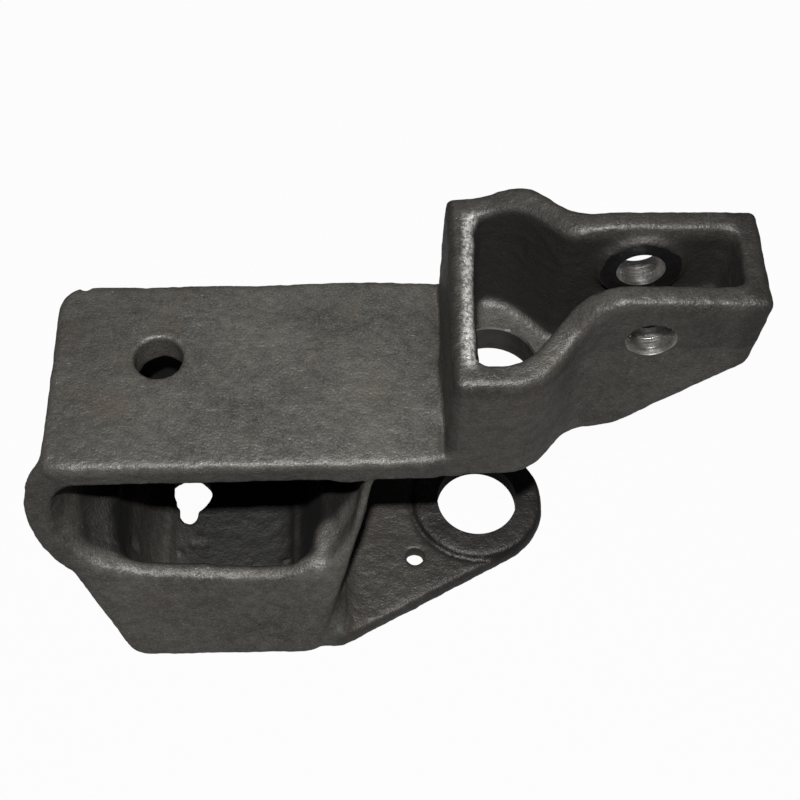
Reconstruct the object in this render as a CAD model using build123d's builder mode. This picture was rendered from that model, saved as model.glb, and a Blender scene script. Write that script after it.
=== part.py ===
from build123d import *
import os
from math import atan2, cos, radians, sin, tan

# An investment cast bracket in one piece: a thick top plate on a hollow, windowed column,
# a flanged foot with a ring boss, and an open pocket that narrows to a clevis.
# Millimetres, +Z up. The origin lies on the axis that the two large bores share,
# level with the underside of the foot. +X runs towards the clevis, the window faces -Y.

# Top plate
plate_top_z = 125.0
plate_thickness = 15.8
plate_left_x = -182.4
plate_half_width = 44.0
plate_rear_extra = 0.8
plate_hump_x = -55.0
plate_hump_end_x = -95.0
plate_hump_height = 1.7
plate_front_skew = 1.0
plate_rear_corner_radius = 12.5
plate_front_corner_radius = 7.0
plate_edge_radius = 3.0
plate_hole_diameter = 20.0
plate_hole_inset = 44.4
plate_hole_y = 6.7

# Foot
foot_thickness = 9.0
foot_nose_radius = 31.8
foot_taper_angle = 28.4
foot_toe_setback = 4.9
foot_toe_overlap = 5.7
foot_edge_radius = 2.5
ring_boss_radius = 30.8
ring_boss_height = 1.6
shaft_bore_diameter = 38.0
drain_hole_diameter = 8.4
drain_hole_x = -30.7
drain_hole_y = -29.5
keyhole_diameter = 21.0
keyhole_inset = 43.4
keyhole_y = 6.2
keyhole_slot_width = 8.6
keyhole_slot_reach = 16.8

# Column
column_toe_reach = 32.2
column_left_taper = 22.0
column_rim_z = 62.0
column_right_foot_x = -70.5
column_right_lean = 14.5
column_heel_radius = 11.0
column_rim_bend_radius = 20.0
column_front_corner_radius = 12.0
column_rear_corner_radius = 9.0
column_edge_radius = 5.0

# Lug that swells past the plate beside the window
lug_reach = 13.5
lug_z = 90.8
lug_half_height = 34.5
lug_depth = 24.0
lug_taper = 28.0
lug_edge_bevel = 3.0

# Tub: the hollow below the column's rim
tub_left_wall = 10.0
tub_left_ledge = 20.4
tub_right_wall = 13.5
tub_right_ledge = 18.0
tub_front_wall = 8.5
tub_rear_wall = 13.0
tub_corner_radius = 9.0
tub_floor_radius = 6.0
tub_rim_radius = 2.5

# Window above the tub, flared from the gallery behind it to the leaning front
window_left_overhang = 1.2
window_left_z = 80.0
window_top_round_share = 0.65
window_sill_left_wall = 11.4
window_sill_left_z = 57.5
window_sill_right_wall = 14.5
window_sill_right_z = 50.2
window_right_wall = 9.3
window_right_z = 76.5
window_right_top_wall = 11.2
window_edge_radius = 3.0
gallery_left_wall = 10.4
gallery_left_z = 82.0
gallery_ledge_left_wall = 13.9
gallery_ledge_right_wall = 4.5
gallery_right_wall = 5.3
gallery_right_top_wall = 9.2
gallery_front_setback = 18.0
gallery_rear_wall = 10.0

# Pocket and clevis
wall_thickness = 10.0
rim_wall_extra = 0.7
cross_wall_x = -21.2
cross_wall_draft = 1.1
cross_wall_foot_thickness = 16.2
cross_wall_inner_draft = 6.3
neck_start_x = 12.4
neck_end_x = 31.4
neck_start_radius = 22.0
neck_end_radius = 16.0
inner_neck_start_x = 6.7
inner_neck_end_x = 26.6
inner_neck_start_radius = 20.0
inner_neck_end_radius = 10.0
clevis_half_width = 23.0
clevis_end_x = 97.2
clevis_end_wall = 9.0
clevis_end_draft = 5.6
belly_start_x = 46.6
belly_end_x = 96.2
belly_rise = 47.0
belly_start_radius = 30.0
belly_end_radius = 8.0
pocket_slope_radius = 20.0
pocket_end_radius = 6.0
pocket_edge_radius = 4.5
rim_outer_radius = 3.5
rim_inner_radius = 2.5

# Height of the pocket's rim over the plate, at these places along the front and the rear side
rim_x = [-40, -22, -8, 2, 10, 18, 25, 30, 35, 40, 48, 75, 110]
front_rim = [50.8, 50.8, 50.8, 50.8, 50.9, 51.2, 53.0, 60.0, 67.3, 71.4, 72.2, 70.9, 69.5]
rear_rim = [56.4, 56.4, 57.4, 61.4, 65.4, 69.0, 71.4, 72.2, 72.4, 72.2, 71.8, 71.2, 70.8]

# Clevis bores, with a spotfaced boss on the inner side of each cheek
pin_x = 55.6
pin_height = 49.0
pin_bore_diameter = 19.0
pin_boss_radius = 17.5
pin_boss_height = 3.0
pin_boss_edge = 1.3

# Derived sizes
plate_under_z = plate_top_z - plate_thickness
above_z = plate_top_z + max(front_rim + rear_rim) + 3 * wall_thickness
front_y = -plate_half_width
rear_y = plate_half_width
plate_front_left_y = front_y - plate_front_skew
column_toe_y = plate_front_left_y - column_toe_reach + plate_front_skew
column_slope = (plate_front_left_y - column_toe_y) / plate_under_z
column_left_rim_x = plate_left_x
column_left_foot_x = column_left_rim_x + column_left_taper
column_right_slope = tan(radians(column_right_lean))
keyhole_x = plate_left_x + keyhole_inset
plate_hole_x = plate_left_x + plate_hole_inset
front_plane = Plane(origin=(0, column_toe_y, 0), x_dir=(1, 0, 0), z_dir=(0, -1, column_slope))


def on_front(x, z):
    """Give the point of the leaning front plane that lies at this X and this height."""
    return (x, z / cos(atan2(column_slope, 1)))


def right_side(z, wall):
    """Give the X that lies a wall's thickness inside the column's right side at this height."""
    return column_right_foot_x + z * column_right_slope - wall


def depth_behind_front(edge):
    """Measure how far an edge's middle lies from the leaning front plane."""
    return abs(front_plane.to_local_coords(edge.center()).Z)


def sharp_edges(part):
    """Find the edges where a part's two faces meet at an angle."""
    found = ShapeList()
    for edge in part.edges():
        faces = [face for face in part.faces() if any(edge.is_same(other) for other in face.edges())]
        middle = edge.position_at(0.5)
        if len(faces) == 2 and faces[0].normal_at(middle).dot(faces[1].normal_at(middle)) < 0.99:
            found.append(edge)
    return found


# Foot: a plate with a round nose about the bore axis, tapering sides and a ring boss
taper = radians(foot_taper_angle)
nose_x = foot_nose_radius * sin(taper)
nose_y = foot_nose_radius * cos(taper)
foot_toe_y = column_toe_y + foot_toe_setback
foot_heel_x = column_right_foot_x - column_rear_corner_radius
with BuildPart() as foot:
    with BuildSketch():
        with BuildLine():
            rear_bend = (nose_x - (rear_y - nose_y) / tan(taper), rear_y)
            front_bend = (nose_x - (-foot_toe_y - nose_y) / tan(taper), foot_toe_y)
            toe_end = (column_right_foot_x - foot_toe_overlap, foot_toe_y)
            ThreePointArc((nose_x, -nose_y), (foot_nose_radius, 0), (nose_x, nose_y))
            Polyline((nose_x, nose_y), rear_bend, (foot_heel_x, rear_y), (foot_heel_x, 0),
                     (toe_end[0], 0), toe_end, front_bend, (nose_x, -nose_y))
        make_face()
    extrude(amount=foot_thickness)
    top_edges = foot.faces().sort_by(Axis.Z)[-1].edges()
    outline = top_edges.filter_by(lambda e: e.center().X > toe_end[0] + 1 and abs(e.center().Y) > 1)
    outline = outline + top_edges.filter_by(lambda e: e.center().X > nose_x)
    fillet(outline.filter_by(lambda e: abs(e.center().X - foot_heel_x) > 1), foot_edge_radius)
    with BuildSketch(Plane.XY.offset(foot_thickness / 2)):
        Circle(ring_boss_radius)
    extrude(amount=foot_thickness / 2 + ring_boss_height)
    chamfer(foot.edges().group_by(Axis.Z)[-1], ring_boss_height / 2)

# Column: the front outline run from front to back, its front leaning out to the toe
with BuildPart() as column:
    with BuildSketch(Plane.XZ.offset(-rear_y)):
        with BuildLine():
            FilletPolyline(
                (column_right_foot_x, 0),
                (right_side(plate_under_z, 0), plate_under_z),
                (plate_left_x, plate_under_z),
                (column_left_rim_x, column_rim_z),
                (column_left_foot_x, 0),
                radius=(0, 0, 0, column_rim_bend_radius, column_heel_radius),
                close=True,
            )
        make_face()
    extrude(amount=rear_y - column_toe_y)
    split(bisect_by=front_plane, keep=Keep.BOTTOM)
    for corner, radius in ((-1, column_rear_corner_radius), (0, column_front_corner_radius)):
        uprights = column.faces().sort_by(Axis.X)[-1].edges()
        uprights = uprights.filter_by(lambda e: abs(e.tangent_at(0.5).Z) > 0.8)
        fillet(uprights.sort_by(Axis.Y)[corner], radius)
    fillet(column.faces().sort_by(Axis.Z)[0].edges().sort_by(Axis.Y)[0], column_edge_radius)

# Lug: a swelling bounded by one arc in the plane of the column's front
with BuildPart() as lug:
    with BuildSketch(front_plane):
        with BuildLine():
            low_point = on_front(column_left_rim_x, lug_z - lug_half_height)
            wide_point = on_front(column_left_rim_x - lug_reach, lug_z)
            top_point = on_front(plate_left_x, lug_z + lug_half_height)
            root_x = plate_left_x + lug_depth
            ThreePointArc(low_point, wide_point, top_point)
            Polyline(top_point, (root_x, wide_point[1] + lug_depth / 2),
                     (root_x, wide_point[1] - lug_depth / 2), low_point)
        make_face()
    extrude(amount=-lug_depth, taper=lug_taper)
    chamfer(lug.edges().filter_by(lambda e: depth_behind_front(e) < 0.1).sort_by(Axis.X)[0], lug_edge_bevel)

# Hollow: what the core leaves free, together with the space before the column's front
window = [
    (column_left_rim_x - window_left_overhang, plate_under_z),
    (column_left_rim_x - window_left_overhang, window_left_z),
    (column_left_rim_x + window_sill_left_wall, window_sill_left_z),
    (right_side(window_sill_right_z, window_sill_right_wall), window_sill_right_z),
    (right_side(window_right_z, window_right_wall), window_right_z),
    (right_side(plate_under_z, window_right_top_wall), plate_under_z),
]
window_top_radius = window_top_round_share * (plate_under_z - window_left_z)
window_radii = (window_top_radius, 20, 8, 5, 40, 0)
gallery = [
    (column_left_rim_x + gallery_left_wall, plate_under_z),
    (column_left_rim_x + gallery_left_wall, gallery_left_z),
    (column_left_rim_x + gallery_ledge_left_wall, column_rim_z),
    (right_side(column_rim_z, gallery_ledge_right_wall), column_rim_z),
    (right_side(window_right_z, gallery_right_wall), window_right_z),
    (right_side(plate_under_z, gallery_right_top_wall), plate_under_z),
]
gallery_radii = (12, 20, 5, 8, 40, 0)
gallery_front_y = front_y + gallery_front_setback
gallery_rear_y = rear_y - gallery_rear_wall
tub_floor = (column_left_foot_x + tub_left_wall, right_side(0, tub_right_wall), foot_thickness)
tub_rim = (column_left_rim_x + tub_left_ledge, right_side(column_rim_z, tub_right_ledge), column_rim_z)
with BuildPart() as tub:
    with BuildSketch(Plane.XZ):
        with BuildLine():
            Polyline((tub_floor[0], tub_floor[2]), (tub_floor[1], tub_floor[2]), (tub_rim[1], tub_rim[2]),
                     (tub_rim[0], tub_rim[2]), close=True)
        make_face()
    extrude(amount=3 * plate_half_width, both=True)
    with BuildSketch(Plane.YZ):
        with BuildLine():
            near = [(column_toe_y + tub_front_wall + z * column_slope, z) for z in (tub_floor[2], tub_rim[2])]
            far = [(rear_y - tub_rear_wall, z) for z in (tub_rim[2], tub_floor[2])]
            Polyline(near + far, close=True)
        make_face()
    extrude(amount=2 * plate_left_x, both=True, mode=Mode.INTERSECT)
    fillet(tub.edges().filter_by(lambda e: abs(e.tangent_at(0.5).Z) > 0.5), tub_corner_radius)
    fillet(tub.faces().sort_by(Axis.Z)[0].edges(), tub_floor_radius)

with BuildPart() as hollow:
    with BuildSketch(front_plane):
        with BuildLine():
            FilletPolyline([on_front(x, z) for x, z in window], radius=window_radii, close=True)
        make_face()
    with BuildSketch(Plane.XZ.offset(-gallery_front_y)):
        with BuildLine():
            FilletPolyline(gallery, radius=gallery_radii, close=True)
        make_face()
    loft(ruled=True)
    extrude(hollow.faces().sort_by(Axis.Y)[-1], amount=gallery_rear_y - gallery_front_y)
    add(tub.part)
    with BuildSketch(front_plane):
        with Locations(on_front(plate_left_x / 2, plate_under_z)):
            Rectangle(-3 * plate_left_x, 3 * plate_under_z)
    extrude(amount=plate_half_width)
    inside = sharp_edges(hollow.part).filter_by(lambda e: window[0][0] - 1 < e.center().X < window[-1][0] + 1)
    inside = inside.filter_by(lambda e: window_sill_right_z < e.center().Z < plate_under_z - 0.1)
    fillet(inside.filter_by(lambda e: depth_behind_front(e) < 0.1), window_edge_radius)
    inside = sharp_edges(hollow.part).filter_by(lambda e: tub_rim[0] - 1 < e.center().X < tub_rim[1] + 1)
    inside = inside.filter_by(lambda e: window_sill_right_z < e.center().Z < column_rim_z + 1)
    inside = inside.filter_by(lambda e: abs(e.center().Y - gallery_front_y) > 0.1)
    fillet(inside.filter_by(lambda e: e.center().Y < gallery_rear_y - 0.1), tub_rim_radius)

# Top plate
plate_right_x = cross_wall_x + cross_wall_foot_thickness / 2
with BuildPart() as plate:
    with BuildSketch(Plane.XY.offset(plate_under_z)):
        with BuildLine():
            hump_end = (plate_hump_end_x, rear_y + plate_rear_extra)
            ThreePointArc((plate_right_x, rear_y), (plate_hump_x, rear_y + plate_hump_height), hump_end)
            Polyline(hump_end, (plate_left_x, rear_y + plate_rear_extra), (plate_left_x, plate_front_left_y),
                     (plate_right_x, front_y), (plate_right_x, rear_y))
        make_face()
    extrude(amount=plate_thickness)
    for corner, radius in ((-1, plate_rear_corner_radius), (0, plate_front_corner_radius)):
        posts = plate.edges().filter_by(Axis.Z).group_by(Axis.X)[0]
        fillet(posts.sort_by(Axis.Y)[corner], radius)
    rim = plate.faces().sort_by(Axis.Z)[-1].edges().filter_by(lambda e: e.center().X < plate_right_x - 1)
    fillet(rim, plate_edge_radius)

# Head: the pocket that narrows to a clevis
belly_slope = belly_rise / (belly_end_x - belly_start_x)
belly_end_z = plate_under_z + belly_rise
floor_bend_x = belly_start_x + (plate_thickness - wall_thickness / cos(atan2(belly_slope, 1))) / belly_slope
pocket_end_x = clevis_end_x - clevis_end_wall
pocket_end_z = plate_top_z + (pocket_end_x - floor_bend_x) * belly_slope
end_slope = tan(radians(clevis_end_draft))


def neck_outline(start_x, half_width, bend_1, bend_2, half_clevis, end_x, radius_1, radius_2):
    """Draw the closed plan of a pocket that narrows on both sides to a clevis."""
    near = [(start_x, -half_width), (bend_1, -half_width), (bend_2, -half_clevis), (end_x, -half_clevis)]
    far = [(x, -y) for x, y in reversed(near)]
    radii = [0, radius_1, radius_2, 0]
    return FilletPolyline(near + far, radius=radii + radii[::-1], close=True)


with BuildPart() as above_rim:
    reach = wall_thickness / (2 * plate_half_width)
    for side, heights, others in ((-1, front_rim, rear_rim), (1, rear_rim, front_rim)):
        tops = [(x, plate_top_z + h + (h - o) * reach) for x, h, o in zip(rim_x, heights, others)]
        with BuildSketch(Plane.XZ.offset(-side * (plate_half_width + wall_thickness))):
            with BuildLine():
                Spline(*tops)
                Polyline(tops[-1], (tops[-1][0], above_z), (tops[0][0], above_z), tops[0])
            make_face()
    loft(ruled=True)

with BuildPart() as head:
    with BuildSketch(Plane.XY.offset(plate_under_z)):
        with BuildLine():
            neck_outline(cross_wall_x, plate_half_width, neck_start_x, neck_end_x, clevis_half_width,
                         clevis_end_x + wall_thickness, neck_start_radius, neck_end_radius)
        make_face()
    extrude(amount=above_z - plate_under_z)
    with BuildSketch(Plane.XZ):
        with BuildLine():
            FilletPolyline(
                (cross_wall_x, plate_under_z),
                (belly_start_x, plate_under_z),
                (belly_end_x, belly_end_z),
                (clevis_end_x + (above_z - plate_top_z - front_rim[-1]) * end_slope, above_z),
                (cross_wall_x + cross_wall_draft * (above_z - plate_under_z) / front_rim[0], above_z),
                radius=(0, belly_start_radius, belly_end_radius, 0, 0),
                close=True,
            )
        make_face()
    extrude(amount=2 * plate_half_width, both=True, mode=Mode.INTERSECT)
    add(above_rim.part, mode=Mode.SUBTRACT)
    fillet(sharp_edges(head.part).filter_by(lambda e: e.center().Z > plate_under_z + 0.1), rim_outer_radius)

with BuildPart() as pocket:
    inner_x = cross_wall_x + cross_wall_foot_thickness
    with BuildSketch(Plane.XY.offset(plate_top_z)):
        with BuildLine():
            neck_outline(cross_wall_x, plate_half_width - wall_thickness - rim_wall_extra, inner_neck_start_x,
                         inner_neck_end_x, clevis_half_width - wall_thickness, clevis_end_x,
                         inner_neck_start_radius, inner_neck_end_radius)
        make_face()
    extrude(amount=above_z - plate_top_z)
    with BuildSketch(Plane.XZ):
        with BuildLine():
            FilletPolyline(
                (inner_x, plate_top_z),
                (floor_bend_x, plate_top_z),
                (pocket_end_x, pocket_end_z),
                (pocket_end_x + 1.5, above_z),
                (inner_x - cross_wall_inner_draft * (above_z - plate_top_z) / front_rim[0], above_z),
                radius=(0, pocket_slope_radius, pocket_end_radius, 0, 0),
                close=True,
            )
        make_face()
    extrude(amount=2 * plate_half_width, both=True, mode=Mode.INTERSECT)
    fillet(sharp_edges(pocket.part).filter_by(lambda e: e.center().Z < above_z - 1), pocket_edge_radius)

with head:
    add(pocket.part, mode=Mode.SUBTRACT)
    inner_rim = sharp_edges(head.part).filter_by(lambda e: e.center().Z > plate_top_z + front_rim[0] - 2)
    fillet(inner_rim, rim_inner_radius)

# Bosses on the inner sides of the cheeks
with BuildPart() as pin_bosses:
    boss_y = clevis_half_width - wall_thickness - pin_boss_height
    for side in (-1, 1):
        with BuildSketch(Plane.XZ.offset(side * boss_y)):
            with Locations((pin_x, plate_top_z + pin_height)):
                Circle(pin_boss_radius)
        extrude(amount=side * (pin_boss_height + wall_thickness / 2))
    boss_edges = pin_bosses.edges().filter_by(GeomType.CIRCLE)
    chamfer(boss_edges.filter_by(lambda e: abs(e.center().Y) < boss_y + 0.1), pin_boss_edge)

# The whole casting, with its bores and holes
with BuildPart() as bracket:
    add(column.part)
    add(lug.part)
    add(hollow.part, mode=Mode.SUBTRACT)
    add(foot.part)
    add(plate.part)
    add(head.part)
    add(pin_bosses.part)
    # The upper shaft bore is run on through the rounding at the root of the cross wall
    for x, y, diameter, bottom_z, height in (
        (0, 0, shaft_bore_diameter, 0, foot_thickness + ring_boss_height),
        (0, 0, shaft_bore_diameter, plate_under_z, plate_thickness + pocket_edge_radius),
        (plate_hole_x, plate_hole_y, plate_hole_diameter, plate_under_z, plate_thickness),
        (keyhole_x, keyhole_y, keyhole_diameter, 0, foot_thickness),
        (drain_hole_x, drain_hole_y, drain_hole_diameter, 0, foot_thickness),
    ):
        with Locations((x, y, bottom_z + height / 2)):
            Cylinder(diameter / 2, height, mode=Mode.SUBTRACT)
    slot_run = keyhole_slot_reach - keyhole_slot_width / 2
    with BuildSketch():
        with Locations((keyhole_x, keyhole_y - slot_run / 2)):
            SlotCenterToCenter(slot_run, keyhole_slot_width, rotation=90)
    extrude(amount=foot_thickness, mode=Mode.SUBTRACT)
    with Locations(Location((pin_x, 0, plate_top_z + pin_height), (90, 0, 0))):
        Cylinder(pin_bore_diameter / 2, 3 * clevis_half_width, mode=Mode.SUBTRACT)

bracket.part.label = "bracket"
os.makedirs("parts", exist_ok=True)
export_step(bracket.part, "parts/bracket.step")
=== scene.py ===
import logging
import math
from dataclasses import dataclass
from enum import Enum
from typing import Any, Optional, Union

import bpy
import numpy as np
from mathutils import Matrix, Vector


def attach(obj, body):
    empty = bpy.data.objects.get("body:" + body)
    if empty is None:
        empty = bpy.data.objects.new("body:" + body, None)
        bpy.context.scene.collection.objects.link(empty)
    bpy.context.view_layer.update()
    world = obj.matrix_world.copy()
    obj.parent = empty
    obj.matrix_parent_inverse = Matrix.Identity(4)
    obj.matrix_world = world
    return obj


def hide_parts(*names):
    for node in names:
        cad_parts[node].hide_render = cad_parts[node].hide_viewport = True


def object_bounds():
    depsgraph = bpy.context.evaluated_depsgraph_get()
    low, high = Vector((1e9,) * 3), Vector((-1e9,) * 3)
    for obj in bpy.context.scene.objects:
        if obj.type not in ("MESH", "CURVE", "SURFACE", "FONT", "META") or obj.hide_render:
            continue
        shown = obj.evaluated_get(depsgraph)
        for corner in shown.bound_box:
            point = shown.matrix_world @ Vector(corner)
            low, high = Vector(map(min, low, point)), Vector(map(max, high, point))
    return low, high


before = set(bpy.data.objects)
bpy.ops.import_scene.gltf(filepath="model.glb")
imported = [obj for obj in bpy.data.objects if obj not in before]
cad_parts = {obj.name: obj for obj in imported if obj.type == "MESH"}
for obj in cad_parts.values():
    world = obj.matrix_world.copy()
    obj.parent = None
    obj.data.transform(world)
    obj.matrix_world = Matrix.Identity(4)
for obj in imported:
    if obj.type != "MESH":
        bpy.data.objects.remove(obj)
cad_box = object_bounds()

log = logging.getLogger("bracket")

MM = 0.001
FULL_TURN = 2.0 * math.pi
WELD_DISTANCE = 0.002 * MM
TINY_LENGTH = 1e-12
# Where the column's leaning front and right side meet the ground in millimetres, and how they lean
FRONT_TOE_Y = -76.2
FRONT_SLOPE = 0.2857
SIDE_TOE_X = -70.5
SIDE_SLOPE = 0.2586

Colour = tuple[float, float, float]
Number = Union[float, "Wire"]
Range = tuple[float, float]
ANYWHERE: Range = (-math.inf, math.inf)


class Finish(Enum):
    """The surfaces that this casting has, each with its material's name."""

    CAST = "cast_iron"
    REAMED = "reamed_iron"
    BORED = "bored_metal"
    SPOTFACE = "blackened_spotface"


class Wire:
    """A value socket that takes part in sums as a Python number would."""

    def __init__(self, sheet: "NodeSheet", socket: bpy.types.NodeSocket) -> None:
        """Keeps the socket and the sheet that it is drawn on."""
        self.sheet = sheet
        self.socket = socket

    def _join(self, operation: str, first: Number, second: Number) -> "Wire":
        """Adds a Math node.

        Args:
            operation: The Math node's operation.
            first: Its first value.
            second: Its second value.

        Returns:
            The node's result.
        """
        node = self.sheet.add("ShaderNodeMath", {"operation": operation}, {0: first, 1: second})
        return Wire(self.sheet, node.outputs[0])

    def __add__(self, other: Number) -> "Wire":
        """Adds two values."""
        return self._join("ADD", self, other)

    def __radd__(self, other: Number) -> "Wire":
        """Adds two values."""
        return self._join("ADD", other, self)

    def __sub__(self, other: Number) -> "Wire":
        """Takes a value away from this one."""
        return self._join("SUBTRACT", self, other)

    def __rsub__(self, other: Number) -> "Wire":
        """Takes this value away from another."""
        return self._join("SUBTRACT", other, self)

    def __mul__(self, other: Number) -> "Wire":
        """Multiplies two values."""
        return self._join("MULTIPLY", self, other)

    def size(self) -> "Wire":
        """Gives the value without its sign."""
        return self._join("ABSOLUTE", self, 0.0)

    def between(self, low: float, high: float) -> "Wire":
        """Keeps the value from going below low or above high."""
        return self._join("MINIMUM", self._join("MAXIMUM", self, low), high)

    def step(self, low: float, high: float) -> "Wire":
        """Turns the range from low to high into a smooth rise from 0 to 1.

        Args:
            low: The value at which the rise starts.
            high: The value at which it ends.

        Returns:
            The rise.
        """
        node = self.sheet.add(
            "ShaderNodeMapRange",
            {"interpolation_type": "SMOOTHSTEP"},
            {"Value": self, "From Min": low, "From Max": high, "To Min": 0.0, "To Max": 1.0},
        )
        return Wire(self.sheet, node.outputs[0])


class NodeSheet:
    """The node tree of one material, with the few kinds of node that the finishes use."""

    def __init__(self, name: str) -> None:
        """Makes an empty material with its output and its shader.

        Args:
            name: The material's name.
        """
        self.material = bpy.data.materials.new(name)
        self.material.use_nodes = True
        self.tree = self.material.node_tree
        self.shader = self.tree.nodes["Principled BSDF"]
        self.place = self.add("ShaderNodeTexCoord", {}, {}).outputs["Object"]

    def add(self, kind: str, settings: dict[str, Any], values: dict[Any, Any]) -> bpy.types.Node:
        """Adds a node, sets it and feeds its sockets.

        Args:
            kind: The node's type.
            settings: What is set on the node itself.
            values: What its sockets get, by name or index: a number, a colour, a link or a Wire.

        Returns:
            The node.
        """
        node = self.tree.nodes.new(kind)
        for name, value in settings.items():
            setattr(node, name, value)
        for key, value in values.items():
            self.feed(node.inputs[key], value)
        return node

    def feed(self, socket: bpy.types.NodeSocket, value: Any) -> None:
        """Gives a socket its value or its link.

        Args:
            socket: The socket.
            value: A number, a colour, another node's socket or a Wire.
        """
        if isinstance(value, Wire):
            value = value.socket
        if isinstance(value, bpy.types.NodeSocket):
            self.tree.links.new(value, socket)
        elif socket.type == "RGBA" and len(value) == 3:
            socket.default_value = (*value, 1.0)
        else:
            socket.default_value = value

    def noise(self, size: float, detail: float = 3.0, rough: float = 0.55) -> Wire:
        """Draws a cloudy pattern.

        Args:
            size: The width of its blots in metres.
            detail: How many finer layers it has.
            rough: How strong the finer layers are.

        Returns:
            Its value, mostly between 0.3 and 0.7.
        """
        values = {"Vector": self.place, "Scale": 1.0 / size, "Detail": detail, "Roughness": rough}
        return Wire(self, self.add("ShaderNodeTexNoise", {}, values).outputs["Fac"])

    def axes(self) -> tuple[Wire, Wire, Wire]:
        """Gives the three coordinates of the point in metres."""
        node = self.add("ShaderNodeSeparateXYZ", {}, {0: self.place})
        return tuple(Wire(self, socket) for socket in node.outputs)

    def blend(self, factor: Number, first: Any, second: Any) -> bpy.types.NodeSocket:
        """Mixes two colours.

        Args:
            factor: The share of the second colour.
            first: The colour at 0.
            second: The colour at 1.

        Returns:
            The mixed colour.
        """
        node = self.add("ShaderNodeMix", {"data_type": "RGBA"}, {0: factor, 6: first, 7: second})
        return node.outputs[2]

    def bump(self, height: Wire, depth: float, under: Any = None) -> bpy.types.NodeSocket:
        """Turns a height into a tilted normal.

        Args:
            height: The height, from 0 to 1.
            depth: What a height of 1 stands for, in metres.
            under: The normal that this one builds on.

        Returns:
            The normal.
        """
        values = {"Height": height, "Distance": depth, "Strength": 1.0}
        if under is not None:
            values["Normal"] = under
        return self.add("ShaderNodeBump", {}, values).outputs["Normal"]


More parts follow.
